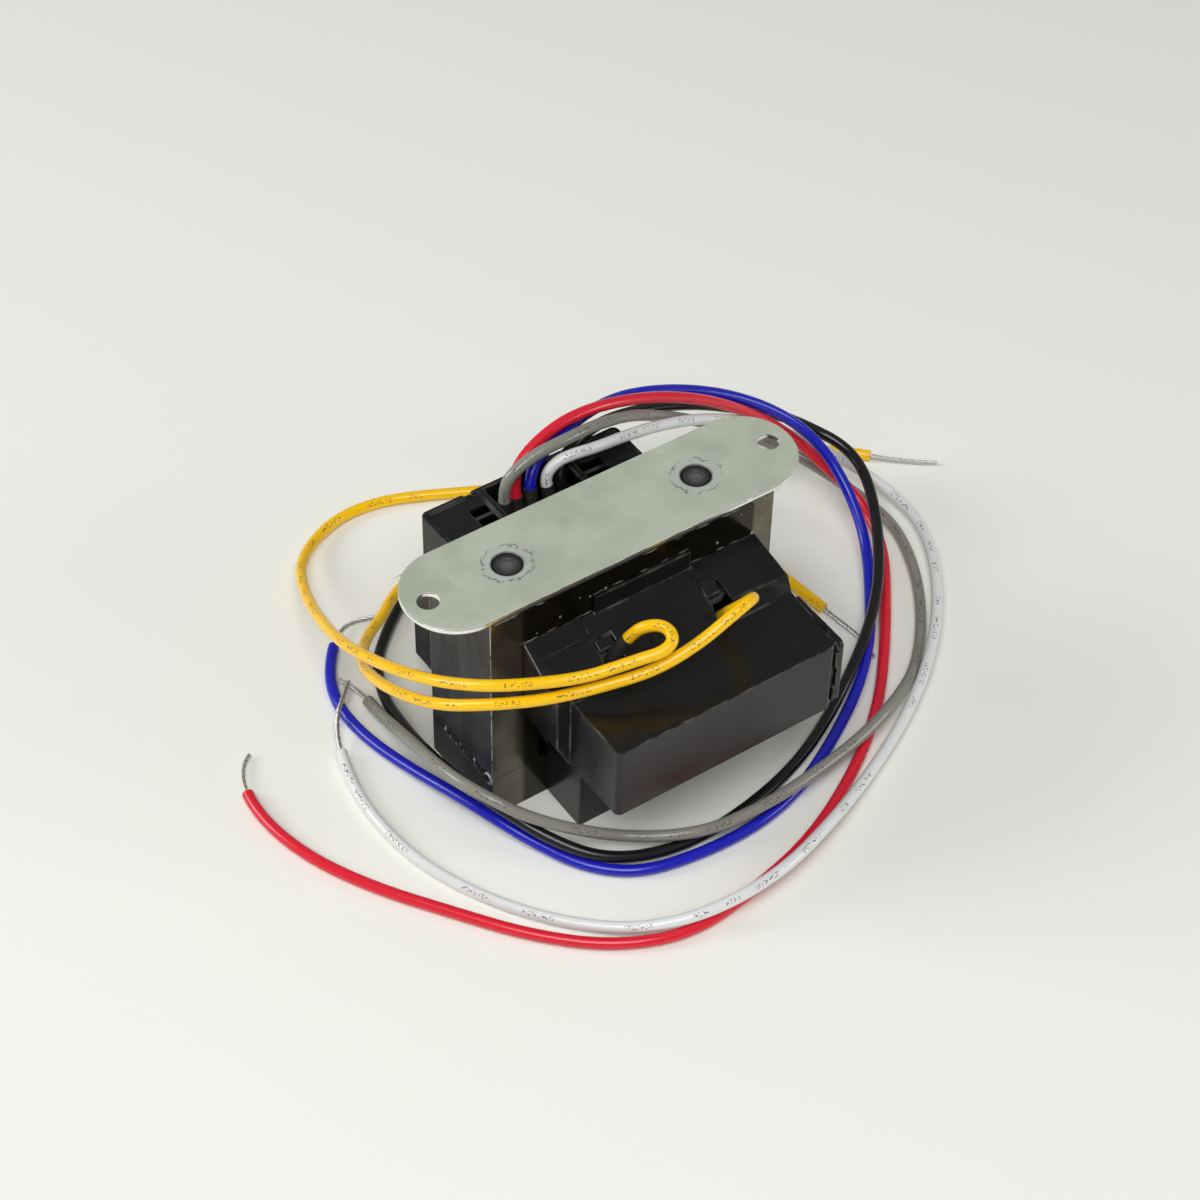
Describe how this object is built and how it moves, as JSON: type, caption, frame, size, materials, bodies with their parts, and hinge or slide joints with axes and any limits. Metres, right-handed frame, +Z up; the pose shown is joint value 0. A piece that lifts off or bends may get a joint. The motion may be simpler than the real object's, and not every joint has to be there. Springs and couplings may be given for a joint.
{
  "type": "control transformer",
  "caption": "Laminated-core control transformer with a welded mounting plate, black lead covers and loose coloured wire leads with bare ends.",
  "frame": {"origin": "Midway between the outer faces of the front and back lead covers, midway along the mounting plate, at the foot of the iron core, which the transformer stands on.", "axes": "+X runs along the mounting plate towards the end cap of the front cover, +Y from the front cover to the back cover, +Z up to the mounting plate."},
  "size_m": [0.2059, 0.1589, 0.065],
  "materials": {
    "core_steel": "satin varnish",
    "weld_metal": "rough",
    "plate_zinc": "satin zinc plating",
    "plug_metal": "rough",
    "bobbin_nylon": "matte",
    "magnet_wire": "varnished copper",
    "insulating_film": "gloss",
    "cover_black": "semi-gloss",
    "sleeve_black": "satin",
    "lead_grey": "satin",
    "lead_red": "satin",
    "lead_blue": "satin",
    "lead_white": "satin",
    "lead_black": "satin",
    "lead_yellow": "satin",
    "tinned_copper": "satin"
  },
  "bodies": {
    "root": {"e_laminations": "core_steel", "i_laminations": "core_steel", "seam_welds": "weld_metal", "mounting_plate": "plate_zinc", "plug_welds": "plug_metal", "bobbin": "bobbin_nylon", "primary_winding": "magnet_wire", "winding_barrier": "insulating_film", "secondary_winding": "magnet_wire", "outer_wrap": "insulating_film", "front_cover": "cover_black", "lead_box_cap": "cover_black", "back_cover": "cover_black", "primary_lead_sleeves": "sleeve_black", "secondary_lead_sleeves": "sleeve_black", "lead_grey": "lead_grey", "lead_red": "lead_red", "lead_blue": "lead_blue", "lead_white": "lead_white", "lead_black": "lead_black", "lead_yellow_left": "lead_yellow", "lead_yellow_right": "lead_yellow", "strands_grey": "tinned_copper", "strands_red": "tinned_copper", "strands_blue": "tinned_copper", "strands_white": "tinned_copper", "strands_black": "tinned_copper", "strands_yellow_left": "tinned_copper", "strands_yellow_right": "tinned_copper"}
  },
  "joints": []
}
